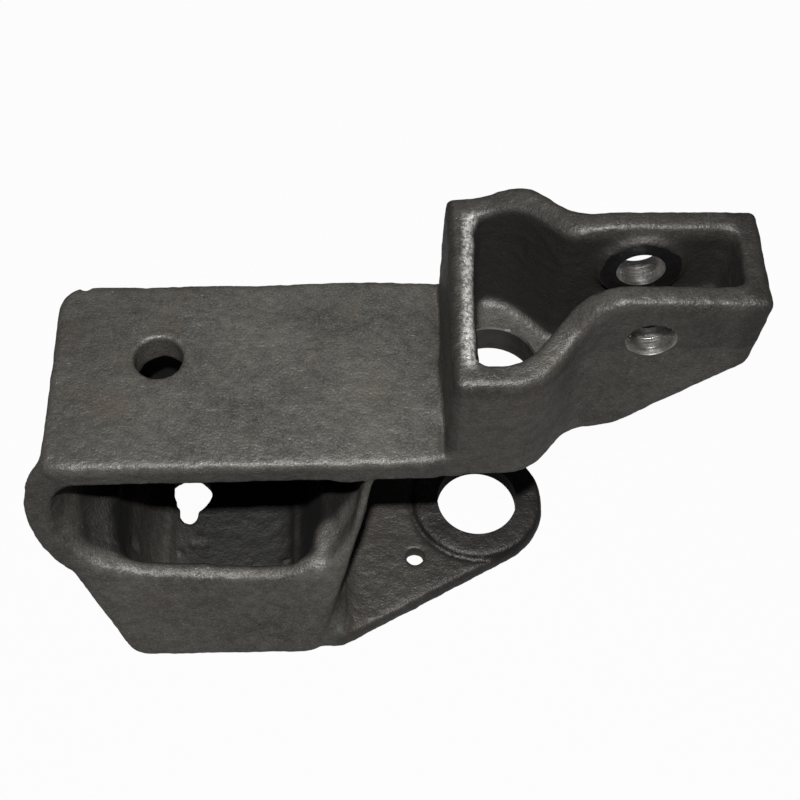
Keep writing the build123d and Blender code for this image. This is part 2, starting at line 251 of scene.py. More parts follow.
@dataclass(frozen=True)
class CastIron:
    """The casting's own skin: dark, grainy and unevenly glossy, with brown tints and specks of rust.

    It has painted shade in the pocket and in the column's hollow, and weaker painted shade on the foot, the
    ring, the rims, the right half, the left end and the walls' ends. It is browner on the foot, and the
    crest of the cross wall carries a painted highlight that is partly metal rubbed shiny. Places and sizes
    are in millimetres, and the painted shade fields are shares of the shade's dark colour.
    """

    dark: Colour = (0.017, 0.0165, 0.0145)
    pale: Colour = (0.060, 0.0575, 0.0505)
    brown: Colour = (0.044, 0.033, 0.025)
    rust: Colour = (0.150, 0.060, 0.028)
    # The painted shade's dark colour
    painted_shade_dark: Colour = (0.0035, 0.0030, 0.0027)
    # The painted highlight's colour, for the painted glints and for the crest, where it is also metal
    # rubbed shiny
    highlight_and_rub_white: Colour = (0.640, 0.625, 0.600)
    metallic: float = 0.2
    sheen_level: float = 0.30
    lump_depth: float = 0.62
    grain_depth: float = 0.24
    # Shares of painted shade laid into the colour at each place
    pocket_painted_shade: float = 0.93
    foot_painted_shade: float = 0.48
    ring_painted_shade: float = 0.34
    rim_painted_shade: float = 0.26
    side_painted_shade: float = 0.17
    left_painted_shade: float = 0.25
    end_painted_shade: float = 0.28
    # The pocket: its half width narrows along the neck, and its rim rises towards the clevis
    pocket_start_x: float = -9.0
    pocket_end_x: float = 92.0
    pocket_half: float = 33.3
    pocket_floor_z: float = 125.6
    neck_x: float = 8.0
    neck_run: float = 20.3
    low_rim_z: float = 174.0
    front_rise_x: float = 22.0
    front_rise: float = 20.0
    rear_rise_x: float = -5.0
    rear_slope: float = 0.55
    rear_step: float = 7.0
    rear_rise: float = 18.0
    # The column's hollow
    hollow_left_x: float = -178.0
    hollow_rear_y: float = 39.0
    hollow_floor_z: float = 4.0
    hollow_top_z: float = 111.0
    lit_corner_x: float = -130.0
    lit_corner_z: float = 50.0
    jamb_x: float = -77.0
    jamb_depth: float = 23.2
    # The plate, the foot, the rim and the crest
    plate_z: float = 121.0
    plate_end_x: float = -23.0
    plate_left_x: float = -115.0
    foot_top_z: float = 13.0
    foot_start_x: float = -72.0
    ring_top_z: float = 20.0
    ring_radii_squared: Range = (1200.0, 950.0)
    rim_z: float = 166.0
    crest_x: float = -11.7
    crest_skew: float = 0.045
    crest_half: float = 4.2
    crest_half_length: float = 37.0
    crest_z: float = 172.0
    cross_wall_x: Range = (-30.0, -15.5)
    cross_wall_z: float = 128.0
    end_x: float = 86.0
    left_x: float = -166.0
    side_start_x: float = -34.0

    def _pocket(self, x: Wire, y: Wire, z: Wire) -> Wire:
        """Marks the pocket's and the clevis' inner sides.

        Args:
            x: The point's place along the bracket in millimetres.
            y: Its place across.
            z: Its height.

        Returns:
            1 inside, 0 outside.
        """
        half = self.pocket_half - (x - self.neck_x).between(0.0, self.neck_run)
        rear = y.step(-2.0, 2.0)
        front_rise = (x - self.front_rise_x).between(0.0, self.front_rise)
        rear_rise = ((x - self.rear_rise_x) * self.rear_slope + self.rear_step).between(0.0, self.rear_rise)
        rim = self.low_rim_z + front_rise * (1.0 - rear) + rear_rise * rear
        inside = (half - y.size()).step(-7.0, -2.0) * (x - self.pocket_start_x).step(-2.0, 3.0)
        inside = inside * (self.pocket_end_x - x).step(0.0, 5.0)
        return inside * (rim - z).step(-1.0, 5.0) * (z - self.pocket_floor_z).step(0.0, 2.5)

    def _hollow(self, x: Wire, y: Wire, z: Wire) -> Wire:
        """Marks the column's inner sides, behind its leaning front.

        Args:
            x: The point's place along the bracket in millimetres.
            y: Its place across.
            z: Its height.

        Returns:
            1 inside, 0 outside, and less on the left wall's lit foot and on the window's right jamb.
        """
        depth = y - FRONT_TOE_Y - z * FRONT_SLOPE
        left_of_side = x * -1.0 + SIDE_TOE_X + z * SIDE_SLOPE
        inside = depth.step(3.5, 9.0) * (self.hollow_rear_y - y).step(0.0, 4.0)
        inside = inside * left_of_side.step(3.0, 8.0) * (x - self.hollow_left_x).step(0.0, 5.0)
        # Less painted shade where light falls: on the left wall's lit foot and on the window's right jamb
        lit = (self.lit_corner_x - x).step(0.0, 25.0) * (self.lit_corner_z - z).step(0.0, 10.0)
        jamb = (x - self.jamb_x).step(0.0, 5.0) * (self.jamb_depth - depth).step(0.0, 6.0)
        inside = inside * (1.0 - lit * 0.45) * (1.0 - jamb * 0.9)
        return inside * (self.hollow_top_z - z).step(0.0, 2.0) * (z - self.hollow_floor_z).step(0.0, 3.0)

    def _ridge(self, x: Wire, y: Wire, z: Wire, ragged: Wire) -> Wire:
        """Marks the cross wall's crest with a ragged border.

        Args:
            x: The point's place along the bracket in millimetres.
            y: Its place across.
            z: Its height.
            ragged: How far the border wanders.

        Returns:
            1 on the crest, 0 outside.
        """
        off_line = (x - self.crest_x - y * self.crest_skew + ragged * 0.4).size()
        ridge = (self.crest_half - off_line).step(0.0, 3.6) * (z - self.crest_z).step(0.0, 3.0)
        return ridge * (self.crest_half_length - y.size() + ragged).step(0.0, 6.0)

    def dress(self) -> bpy.types.Material:
        """Makes the material.

        Returns:
            The material.
        """
        sheet = NodeSheet(Finish.CAST.value)
        x, y, z = (axis * (1.0 / MM) for axis in sheet.axes())
        clouds = sheet.noise(34 * MM, detail=4.0)
        crust = sheet.noise(4.2 * MM, detail=4.0, rough=0.65)
        grain = sheet.noise(1.0 * MM, detail=3.0, rough=0.62)
        pits = sheet.noise(2.4 * MM, detail=2.0).step(0.36, 0.26)
        # Painted glints: fine specks of the highlight colour laid into the skin
        painted_glints = sheet.noise(0.8 * MM, detail=1.0).step(0.62, 0.74)
        scuffs = sheet.noise(1.5 * MM, detail=3.0, rough=0.7).step(0.42, 0.60)
        stain = sheet.noise(24 * MM, detail=5.0).step(0.50, 0.72)
        specks = sheet.noise(1.2 * MM, detail=1.0).step(0.70, 0.78) * sheet.noise(15 * MM).step(0.48, 0.62)

        foot = (self.foot_top_z - z).step(0.0, 4.0) * (x - self.foot_start_x).step(0.0, 10.0)
        ring = (x * x + y * y).step(*self.ring_radii_squared) * (self.ring_top_z - z).step(0.0, 2.0)
        # Painted highlight along the cross wall's crest, partly metal rubbed shiny, with a ragged scuffed
        # border
        ridge = self._ridge(x, y, z, crust * 6.0 - 3.0)
        crest = ridge * (scuffs * 0.68 + 0.12)
        rim = (z - self.rim_z).step(0.0, 4.0) * (1.0 - ridge)
        plate = (z - self.plate_z).step(0.0, 3.0) * (self.plate_end_x - x).step(0.0, 3.0)
        pocket = self._pocket(x, y, z)
        hollow = self._hollow(x, y, z)
        inner = pocket + hollow
        wall_start, wall_end = self.cross_wall_x
        cross = (x - wall_start).step(0.0, 4.0) * (wall_end - x).step(0.0, 2.0)
        ends = cross * (z - self.cross_wall_z).step(0.0, 4.0) + (x - self.end_x).step(0.0, 6.0)
        left_end = (1.0 - plate) * (1.0 - inner) * (self.left_x - x).step(0.0, 14.0)
        right_half = (x - self.side_start_x).step(0.0, 12.0) * (1.0 - inner) * (1.0 - crest)

        # Painted shade: the colour is darkened in the pocket, in the column's hollow, on the foot and the
        # ring, on the rims, on the right half, at the plate's left end and at the walls' ends
        painted_shade = pocket * self.pocket_painted_shade + hollow + foot * self.foot_painted_shade + ring * self.ring_painted_shade
        painted_shade = painted_shade + rim * self.rim_painted_shade * (1.0 - inner) + right_half * self.side_painted_shade
        painted_shade = painted_shade + (plate * (self.plate_left_x - x).step(0.0, 60.0) + left_end) * self.left_painted_shade
        painted_shade = painted_shade + ends * (1.0 - inner) * self.end_painted_shade

        tone = (clouds * 0.7 + crust * 0.7 + grain * 0.9 - 0.6).step(0.1, 0.95)
        colour = sheet.blend(tone, self.dark, self.pale)
        colour = sheet.blend(stain * 0.45 + foot * 0.25, colour, self.brown)
        colour = sheet.blend(specks * 0.6, colour, self.rust)
        # Painted highlight: the crest and the glints get the highlight colour
        colour = sheet.blend(painted_glints * 0.06 + crest, colour, self.highlight_and_rub_white)
        colour = sheet.blend(painted_shade.between(0.0, 1.0), colour, self.painted_shade_dark)
        gloss = 0.56 - crust * 0.20 - painted_glints * 0.08 + stain * 0.06 + inner * 0.14 - crest * 0.12
        lumps = sheet.bump(crust, self.lump_depth * MM)
        sheet.feed(sheet.shader.inputs["Base Color"], colour)
        sheet.feed(sheet.shader.inputs["Roughness"], gloss)
        sheet.feed(sheet.shader.inputs["Metallic"], crest * 0.6 + (1.0 - inner) * self.metallic)
        sheet.feed(sheet.shader.inputs["Specular IOR Level"], self.sheen_level)
        skin = sheet.bump(grain + pits * -0.6, self.grain_depth * MM, lumps)
        sheet.feed(sheet.shader.inputs["Normal"], skin)
        return sheet.material


@dataclass(frozen=True)
class TurnedMetal:
    """A machined surface with the marks of the tool running round its axis.

    Across the axis the marks change slowly: across_scale is the noise's scale there, in blots per metre.
    """

    finish: Finish
    colour: Colour
    roughness: float
    metallic: float
    axis: int
    pitch: float = 0.45 * MM
    depth: float = 0.03 * MM
    across_scale: float = 6.0
    dullness: float = 0.45

    def dress(self) -> bpy.types.Material:
        """Makes the material.

        Returns:
            The material.
        """
        sheet = NodeSheet(self.finish.value)
        stretch = [self.across_scale] * 3
        stretch[self.axis] = 1.0 / self.pitch
        lines = sheet.add("ShaderNodeMapping", {}, {"Vector": sheet.place, "Scale": stretch})
        values = {"Vector": lines.outputs[0], "Scale": 1.0, "Detail": 2.0}
        marks = Wire(sheet, sheet.add("ShaderNodeTexNoise", {}, values).outputs["Fac"])
        haze = sheet.noise(4.0 * MM, detail=3.0)
        dull = tuple(self.dullness * part for part in self.colour)
        tone = (marks * 0.7 + haze * 0.8 - 0.3).step(0.1, 0.75)
        sheet.feed(sheet.shader.inputs["Base Color"], sheet.blend(tone, dull, self.colour))
        sheet.feed(sheet.shader.inputs["Roughness"], haze * 0.2 + marks * 0.1 + (self.roughness - 0.15))
        sheet.feed(sheet.shader.inputs["Metallic"], self.metallic)
        sheet.feed(sheet.shader.inputs["Normal"], sheet.bump(marks, self.depth))
        return sheet.material


def deselect_all() -> None:
    """Leaves nothing selected."""
    bpy.ops.object.select_all(action="DESELECT")


def take(thing: bpy.types.Object) -> None:
    """Selects one object alone and makes it the active one."""
    deselect_all()
    thing.select_set(True)
    bpy.context.view_layer.objects.active = thing


def settle(thing: bpy.types.Object) -> None:
    """Moves an object's place and turn into its mesh."""
    take(thing)
    bpy.ops.object.transform_apply(location=True, rotation=True, scale=True)


def apply_all(thing: bpy.types.Object) -> None:
    """Applies an object's modifiers in their order."""
    take(thing)
    for modifier in list(thing.modifiers):
        bpy.ops.object.modifier_apply(modifier=modifier.name)


def join(things: list[bpy.types.Object]) -> bpy.types.Object:
    """Joins objects into the first of them.

    Args:
        things: The objects.

    Returns:
        The first object, which now holds all their meshes.
    """
    deselect_all()
    for thing in things:
        thing.select_set(True)
    bpy.context.view_layer.objects.active = things[0]
    bpy.ops.object.join()
    return things[0]


@dataclass
class Bore:
    """A round machined hole, as a cutter with a small bevel at each mouth.

    The cutter stands out by run_out at both ends, or goes on by run_on at the far end without widening.
    """

    start: tuple[float, float, float]
    axis: tuple[float, float, float]
    length: float
    radius: float
    finish: Finish
    bevel: float = 0.5 * MM
    run_out: float = 1.0 * MM
    run_on: float = 0.0
    segments: int = 128

    def direction(self) -> Vector:
        """Gives the direction that the hole runs in."""
        return Vector(self.axis).normalized()

    def place(self, thing: bpy.types.Object) -> None:
        """Puts an object that was made along Z at the origin where the hole is.

        Args:
            thing: The object.
        """
        thing.rotation_euler = self.direction().to_track_quat("Z", "Y").to_euler()
        thing.location = self.start
        settle(thing)

    def plug(self, spare: float) -> bpy.types.Object:
        """Makes a cylinder that fills the hole in the wall while the skin is made.

        Args:
            spare: How much wider than the hole the plug is.

        Returns:
            The plug.
        """
        deselect_all()
        middle = (0, 0, self.length / 2)
        bpy.ops.mesh.primitive_cylinder_add(
            vertices=self.segments, radius=self.radius + spare, depth=self.length, location=middle
        )
        plug = bpy.context.object
        settle(plug)
        self.place(plug)
        return plug

    def cutter(self, material: bpy.types.Material) -> bpy.types.Object:
        """Makes the cutter by spinning its outline.

        Args:
            material: The finish that the cut surface gets.

        Returns:
            The cutter.
        """
        wide = self.radius + self.bevel
        top = self.length
        outline = [(0.0, -self.run_out), (wide, -self.run_out), (wide, 0.0), (self.radius, self.bevel)]
        outline += [(self.radius, top - self.bevel), (wide, top)]
        if self.run_on:
            far_end = top + self.run_on
            outline += [(self.radius, top + self.bevel), (self.radius, far_end), (0.0, far_end)]
        else:
            far_end = top + self.run_out
            outline += [(wide, far_end), (0.0, far_end)]
        mesh = bpy.data.meshes.new("cutter")
        edges = [(index, index + 1) for index in range(len(outline) - 1)]
        mesh.from_pydata([(radius, 0.0, height) for radius, height in outline], edges, [])
        cutter = bpy.data.objects.new("cutter", mesh)
        bpy.context.scene.collection.objects.link(cutter)
        take(cutter)
        bpy.ops.object.mode_set(mode="EDIT")
        bpy.ops.mesh.select_all(action="SELECT")
        bpy.ops.mesh.spin(steps=self.segments, angle=FULL_TURN, center=(0, 0, 0), axis=(0, 0, 1))
        bpy.ops.mesh.select_all(action="SELECT")
        bpy.ops.mesh.remove_doubles(threshold=WELD_DISTANCE)
        bpy.ops.mesh.normals_make_consistent(inside=False)
        bpy.ops.object.mode_set(mode="OBJECT")
        mesh.materials.append(material)
        self.place(cutter)
        return cutter


@dataclass(frozen=True)
class Dent:
    """A place where the skin is pushed: a scar, a fold or a swelling, in millimetres."""

    centre: tuple[float, float, float]
    reach: tuple[float, float, float]
    push: tuple[float, float, float]

    def move(self, points: np.ndarray) -> np.ndarray:
        """Pushes the points that lie within the dent's reach.

        Args:
            points: The points, one a row, in millimetres.

        Returns:
            The moved points.
        """
        away = (points - np.array(self.centre)) / np.array(self.reach)
        share = ramp((away**2).sum(axis=1), 1.0, 0.0) ** 2
        return points + share[:, None] * np.array(self.push)


@dataclass(frozen=True)
class Root:
    """The wide round root where a level floor turns up into a side wall, in millimetres.

    The wall runs up from its foot by wall_run along X and wall_rise along Z. The free space lies on the +X
    side of it where side is 1, and on the -X side where it is -1. The root is filled between two depths
    behind the column's front, and the filling fades out over fade away from the corner.
    """

    wall_foot_x: float
    floor_z: float
    wall_run: float
    wall_rise: float
    side: float
    width: float
    near: float
    far: float
    fade: float = 12.0
    fade_under: float = 3.0
    near_soft: float = 3.5
    far_soft: float = 5.0

    def move(self, points: np.ndarray) -> np.ndarray:
        """Fills the corner between the floor and the wall.

        Args:
            points: The points, one a row, in millimetres.

        Returns:
            The moved points.
        """
        x, _, z = points.T
        slope = math.hypot(self.wall_run, self.wall_rise)
        wall_normal = np.array([self.wall_rise, 0.0, -self.wall_run]) * self.side / slope
        between = wall_normal + np.array([0.0, 0.0, 1.0])
        between /= np.linalg.norm(between)
        from_floor = z - self.floor_z
        from_wall = (x - self.wall_foot_x) * wall_normal[0] + from_floor * wall_normal[2]
        nearest = np.minimum(from_wall, from_floor)
        share = ramp(np.abs(from_wall - from_floor), self.width, 0.0) ** 2
        share *= ramp(nearest, self.fade, 0.0) * ramp(nearest, -self.fade_under, 0.0)
        behind = behind_front(points)
        share *= ramp(behind, self.near, self.near + self.near_soft)
        share *= ramp(behind, self.far, self.far - self.far_soft)
        push = self.width / (4.0 * between.dot(wall_normal))
        return points + (push * share)[:, None] * between


@dataclass(frozen=True)
class Overhang:
    """The plate's front, whose top edge stands out over its lower edge."""

    reach: float = 2.4
    low_z: float = 103.0
    high_z: float = 122.0
    inner_y: float = -34.0
    outer_y: float = -41.0
    right_x: float = -21.0
    right_soft: float = 5.0

    def move(self, points: np.ndarray) -> np.ndarray:
        """Moves the top of the plate's front outwards.

        Args:
            points: The points, one a row, in millimetres.

        Returns:
            The moved points.
        """
        x, y, z = points.T
        share = ramp(z, self.low_z, self.high_z) * ramp(y, self.inner_y, self.outer_y)
        share *= ramp(x, self.right_x, self.right_x - self.right_soft)
        moved = points.copy()
        moved[:, 1] -= share * self.reach
        return moved


@dataclass(frozen=True)
class Post:
    """The post beside the window, whose right side is pared away, most of all below the plate."""

    pared: float = 2.7
    pared_top: float = 3.0
    top_start_z: float = 80.0
    top_end_z: float = 110.0
    inner_depth: float = 6.5
    inner_soft: float = 5.0
    outer_reach: float = 12.0
    outer_soft: float = 6.0
    foot_z: Range = (12.0, 32.0)
    plate_z: Range = (112.0, 109.0)
    rear_y: Range = (30.0, 10.0)

    def move(self, points: np.ndarray) -> np.ndarray:
        """Moves the column's right side inwards.

        Args:
            points: The points, one a row, in millimetres.

        Returns:
            The moved points.
        """
        x, y, z = points.T
        outside = x - (SIDE_TOE_X + z * SIDE_SLOPE)
        share = ramp(outside, -self.inner_depth, self.inner_soft - self.inner_depth)
        share *= ramp(outside, self.outer_reach, self.outer_reach - self.outer_soft)
        share *= ramp(z, *self.foot_z) * ramp(z, *self.plate_z) * ramp(y, *self.rear_y)
        reach = self.pared + self.pared_top * ramp(z, self.top_start_z, self.top_end_z)
        moved = points.copy()
        moved[:, 0] -= share * reach
        return moved


@dataclass(frozen=True)
class Groove:
    """The groove that runs round the ring boss up to its right end, in millimetres."""

    radius: float = 32.0
    half_width: float = 1.9
    depth: float = 1.1
    low_z: float = 6.0
    high_z: float = 13.0
    end_x: Range = (20.0, 8.0)

    def move(self, points: np.ndarray) -> np.ndarray:
        """Sinks the groove.

        Args:
            points: The points, one a row, in millimetres.

        Returns:
            The moved points.
        """
        x, y, z = points.T
        from_line = (np.hypot(x, y) - self.radius) / self.half_width
        share = ramp(from_line**2, 1.0, 0.0) * ((z > self.low_z) & (z < self.high_z))
        share *= ramp(x, *self.end_x)
        moved = points.copy()
        moved[:, 2] -= self.depth * share
        return moved


@dataclass(frozen=True)
class Splay:
    """The window's two splayed ends, each one even surface down to the tub, in millimetres."""

    near: Range = (4.0, 9.0)
    far: Range = (36.0, 30.0)
    foot_z: Range = (48.0, 54.0)
    plate_z: Range = (107.0, 103.0)
    middle_x: float = -118.0
    from_middle: Range = (34.0, 40.0)
    post_depth: Range = (9.0, 12.0)

    def share(self, points: np.ndarray) -> np.ndarray:
        """Marks the splayed ends.

        Args:
            points: The points, one a row, in millimetres.

        Returns:
            A share from 0 to 1 for each point, as a column.
        """
        x, _, z = points.T
        behind = behind_front(points)
        share = ramp(behind, *self.near) * ramp(behind, *self.far)
        share *= ramp(z, *self.foot_z) * ramp(z, *self.plate_z)
        share *= ramp(np.abs(x - self.middle_x), *self.from_middle)
        share *= ramp(SIDE_TOE_X + z * SIDE_SLOPE - x, *self.post_depth)
        return share[:, None]


@dataclass(frozen=True)
class Zone:
    """A part of the skin whose corners have radii of their own, in millimetres.

    A point lies in it where its coordinates, its depth behind the column's front and its distance from the
    shaft's axis are all within the zone's ranges.
    """

    root_radius: Optional[float] = None
    edge_radius: Optional[float] = None
    x: Range = ANYWHERE
    y: Range = ANYWHERE
    z: Range = ANYWHERE
    behind: Range = ANYWHERE
    from_shaft: Range = ANYWHERE

    def holds(self, points: np.ndarray) -> np.ndarray:
        """Tells which points lie in the zone.

        Args:
            points: The points, one a row, in millimetres.

        Returns:
            True or False for each point.
        """
        x, y, z = points.T
        places = (x, y, z, behind_front(points), np.hypot(x, y))
        limits = (self.x, self.y, self.z, self.behind, self.from_shaft)
        inside = np.ones(len(points), dtype=bool)
        for place, (low, high) in zip(places, limits):
            inside &= (place > low) & (place < high)
        return inside


class Skin:
    """The casting's surface as arrays, while it is shaped."""

    def __init__(self, mesh: bpy.types.Mesh) -> None:
        """Reads the mesh.

        Args:
            mesh: The mesh.
        """
        self.mesh = mesh
        self.points = read_points(mesh)
        self.quads = read_quads(mesh)
        ends = np.empty(len(mesh.edges) * 2, dtype=np.int64)
        mesh.edges.foreach_get("vertices", ends)
        self.first, self.second = ends.reshape(-1, 2).T
        self.neighbours = np.bincount(ends, minlength=len(self.points))[:, None]

    def normals(self) -> np.ndarray:
        """Works out the normal at each point from the faces around it.

        Returns:
            The normals, one a row.
        """
        a, b, c, d = (self.points[self.quads[:, corner]] for corner in range(4))
        flat = np.cross(c - a, d - b)
        normals = np.zeros_like(self.points)
        for corner in range(4):
            for axis in range(3):
                normals[:, axis] += np.bincount(self.quads[:, corner], flat[:, axis], len(self.points))
        return normals / np.maximum(np.linalg.norm(normals, axis=1), TINY_LENGTH)[:, None]

    def pull(self) -> np.ndarray:
        """Works out how far each point lies from the middle of its neighbours.

        Returns:
            The way from each point to that middle.
        """
        total = np.empty_like(self.points)
        for axis in range(3):
            along = self.points[:, axis]
            total[:, axis] = np.bincount(self.first, along[self.second], len(along))
            total[:, axis] += np.bincount(self.second, along[self.first], len(along))
        return total / self.neighbours - self.points

    def round_off(self, spacing: float, roots: np.ndarray, edges: np.ndarray, passes: int) -> None:
        """Smooths the inner and outer corners until they are as round as asked.

        Args:
            spacing: How far apart the points are.
            roots: The radius that each point asks for in an inner corner.
            edges: The radius that it asks for at an outer edge.
            passes: How often the points are moved.
        """
        root_limit = spacing**2 / (4.0 * roots)
        edge_limit = spacing**2 / (4.0 * edges)
        for _ in range(passes):
            pull = self.pull()
            hollow = (pull * self.normals()).sum(axis=1)
            share = np.clip((hollow - root_limit) / root_limit, 0.0, 1.0)
            share += np.clip((-hollow - edge_limit) / edge_limit, 0.0, 1.0)
            self.points += pull * (0.5 * share)[:, None]

    def relax(self, passes: int, share: Union[float, np.ndarray]) -> None:
        """Smooths the skin.

        Args:
            passes: How often the points are moved.
            share: How strongly each point takes part, from 0 to 1.
        """
        for _ in range(passes):
            self.points += 0.5 * share * self.pull()

    def write(self) -> None:
        """Gives the mesh its new shape."""
        write_points(self.mesh, self.points)


@dataclass
class CastBody:
    """The casting: a skin drawn over the solid, with soft roots, a wavy surface and cut bores."""

    voxel: float = 1.1 * MM
    root_radius: float = 3.6 * MM
    edge_radius: float = 2.0 * MM
    round_passes: int = 170
    relax_passes: int = 4
    splay_passes: int = 40
    # Name, size and strength of each kind of unevenness in millimetres
    waves: tuple[tuple[str, float, float], ...] = (
        ("swell", 22.0, 0.9),
        ("lumps", 6.0, 0.62),
        ("crust", 2.8, 0.30),
    )
    wave_middle: float = 0.58
    box_margin: float = 0.02 * MM
    faces: int = 170000
    pin_x: float = 55.6 * MM
    pin_z: float = 174.0 * MM
    cheek_out: float = 23.0 * MM
    boss_in: float = 10.0 * MM
    spotface_radius: float = 16.4 * MM
    spotface_depth: float = 0.4 * MM
    plate_z: Range = (109.2 * MM, 125.0 * MM)
    ring_top: float = 10.6 * MM
    shaft_radius: float = 19.0 * MM
    shaft_bevel: float = 0.9 * MM
    shaft_run_on: float = 4.5 * MM
    pin_radius: float = 9.5 * MM
    pin_bevel: float = 0.35 * MM
    plug_spare: float = 1.5 * MM
    smooth_angle_deg: float = 40.0
    forms: tuple[Union[Root, Post, Overhang], ...] = (
        # The tub's left and right wall
        Root(-150.4, 9.0, wall_run=-11.6, wall_rise=53.0, side=1.0, width=22.0, near=4.0, far=107.0),
        Root(-84.0, 9.0, wall_run=11.5, wall_rise=53.0, side=-1.0, width=14.0, near=4.0, far=107.0),
        # The window's two ends, before and behind the ledges' step
        Root(-171.0, 56.5, wall_run=-12.6, wall_rise=22.5, side=1.0, width=24.0, near=-4.0, far=24.0),
        Root(-168.5, 62.0, wall_run=-3.5, wall_rise=20.0, side=1.0, width=24.0, near=18.0, far=107.0),
        Root(-72.0, 51.0, wall_run=12.0, wall_rise=26.3, side=-1.0, width=30.0, near=-4.0, far=24.0),
        Root(-59.0, 62.0, wall_run=3.0, wall_rise=14.5, side=-1.0, width=28.0, near=18.0, far=107.0),
        # The column's right side over the foot
        Post(),
        Root(-70.9, 9.0, wall_run=13.7, wall_rise=53.0, side=1.0, width=18.0, near=-4.0, far=107.0),
        Overhang(),
    )
    zones: tuple[Zone, ...] = (
        # The column's window, and its worn outer edges
        Zone(root_radius=13.0, x=(-math.inf, -44.0), z=(44.0, 108.0), behind=(-math.inf, 34.0)),
        Zone(edge_radius=6.0, x=(-math.inf, -44.0), z=(44.0, 108.0), behind=(-math.inf, 15.0)),
        # The plate's worn front edge
        Zone(edge_radius=6.0, x=(-math.inf, -24.0), y=(-math.inf, -34.0), z=(117.0, math.inf)),
        # The foot beside the column
        Zone(root_radius=12.0, x=(-78.0, -42.0), z=(7.5, 36.0), behind=(-2.0, math.inf)),
        # The ring boss
        Zone(root_radius=0.8, edge_radius=0.9, z=(7.0, 12.5), from_shaft=(27.3, 34.3)),
    )
    dents: tuple[Dent, ...] = (
        # Notch and fold at the plate's rear left corner
        Dent((-171.5, 44.5, 124.0), (3.2, 3.5, 9.0), (0.0, -1.8, -0.6)),
        Dent((-176.0, 45.5, 124.0), (3.0, 4.0, 6.0), (0.0, -0.9, -0.5)),
        # Swelling under the plate's front edge, over the post
        Dent((-60.0, -44.0, 109.5), (9.0, 5.0, 5.0), (0.0, -0.6, -1.3)),
        # Creases beside the cross wall
        Dent((-21.6, 25.0, 125.0), (2.4, 20.0, 4.0), (0.6, 0.0, -1.7)),
        Dent((-21.6, -33.0, 125.0), (2.4, 14.0, 4.0), (0.6, 0.0, -1.7)),
        Dent((-21.0, -2.0, 128.0), (5.0, 14.0, 8.0), (-1.2, 0.0, 0.4)),
        # The cross wall's crest leans inwards and runs a little askew
        Dent((-8.0, 26.0, 176.0), (12.0, 42.0, 26.0), (3.0, 0.0, 0.0)),
        Dent((-8.0, -26.0, 176.0), (12.0, 42.0, 26.0), (0.8, 0.0, 0.0)),
        # Pit in the tub's left wall, and scars and a pimple on its floor
        Dent((-158.5, -36.0, 38.0), (5.0, 4.5, 8.0), (-2.6, 0.0, -0.5)),
        Dent((-132.0, -17.5, 10.0), (2.2, 4.5, 4.0), (0.0, 0.0, 0.9)),
        Dent((-135.5, -22.0, 10.0), (2.0, 3.5, 4.0), (0.0, 0.0, -1.0)),
        Dent((-130.0, -22.0, 10.0), (2.0, 4.0, 4.0), (0.0, 0.0, -0.8)),
        Dent((-140.9, -26.9, 10.0), (2.4, 2.4, 5.0), (0.0, 0.0, 1.6)),
        Dent((-91.0, -31.5, 9.5), (4.5, 1.8, 4.0), (0.0, 0.0, 1.2)),
        Dent((-86.4, -28.0, 9.5), (1.8, 4.0, 4.0), (0.0, 0.0, 1.2)),
    )

    def bores(self) -> list[Bore]:
        """Gives the machined holes."""
        low, high = self.plate_z
        up = (0, 0, 1)
        lower = Bore((0, 0, 0), up, self.ring_top, self.shaft_radius, Finish.REAMED)
        upper = Bore(
            (0, 0, low), up, high - low, self.shaft_radius, Finish.REAMED,
            bevel=self.shaft_bevel, run_on=self.shaft_run_on,
        )
        bores = [lower, upper]
        wall = self.cheek_out - self.boss_in
        for side in (-1, 1):
            start = (self.pin_x, side * self.boss_in, self.pin_z)
            pin = Bore(start, (0, side, 0), wall, self.pin_radius, Finish.BORED, bevel=self.pin_bevel)
            bores.append(pin)
        return bores

    def spotface(self) -> Bore:
        """Gives the spotface on both cheeks' inner sides, cut by one cylinder between them."""
        reach = self.boss_in + self.spotface_depth
        start = (self.pin_x, -reach, self.pin_z)
        return Bore(
            start, (0, 1, 0), 2 * reach, self.spotface_radius, Finish.SPOTFACE, bevel=0.0, run_out=0.0
        )

    def copy_solid(self, node: bpy.types.Object) -> bpy.types.Object:
        """Copies the solid's mesh and merges its loose triangles.

        Args:
            node: The frame's own object.

        Returns:
            The copy.
        """
        body = bpy.data.objects.new("casting", node.data.copy())
        bpy.context.scene.collection.objects.link(body)
        body.data.materials.clear()
        take(body)
        bpy.ops.object.mode_set(mode="EDIT")
        bpy.ops.mesh.select_all(action="SELECT")
        bpy.ops.mesh.remove_doubles(threshold=WELD_DISTANCE)
        bpy.ops.object.mode_set(mode="OBJECT")
        return body

    def draw_skin(self, body: bpy.types.Object) -> None:
        """Draws an even skin over the body.

        Args:
            body: The casting.
        """
        remesh = body.modifiers.new("skin", "REMESH")
        remesh.mode = "VOXEL"
        remesh.voxel_size = self.voxel
        apply_all(body)

    def corner_radii(self, points: np.ndarray) -> tuple[np.ndarray, np.ndarray]:
        """Tells how round the corners near each point are.

        Args:
            points: The points, one a row, in metres.

        Returns:
            The radius of an inner corner and that of an outer edge, for each point.
        """
        roots = np.full(len(points), self.root_radius)
        edges = np.full(len(points), self.edge_radius)
        places = points / MM
        for zone in self.zones:
            held = zone.holds(places)
            if zone.root_radius is not None:
                roots[held] = zone.root_radius * MM
            if zone.edge_radius is not None:
                edges[held] = zone.edge_radius * MM
        return roots, edges

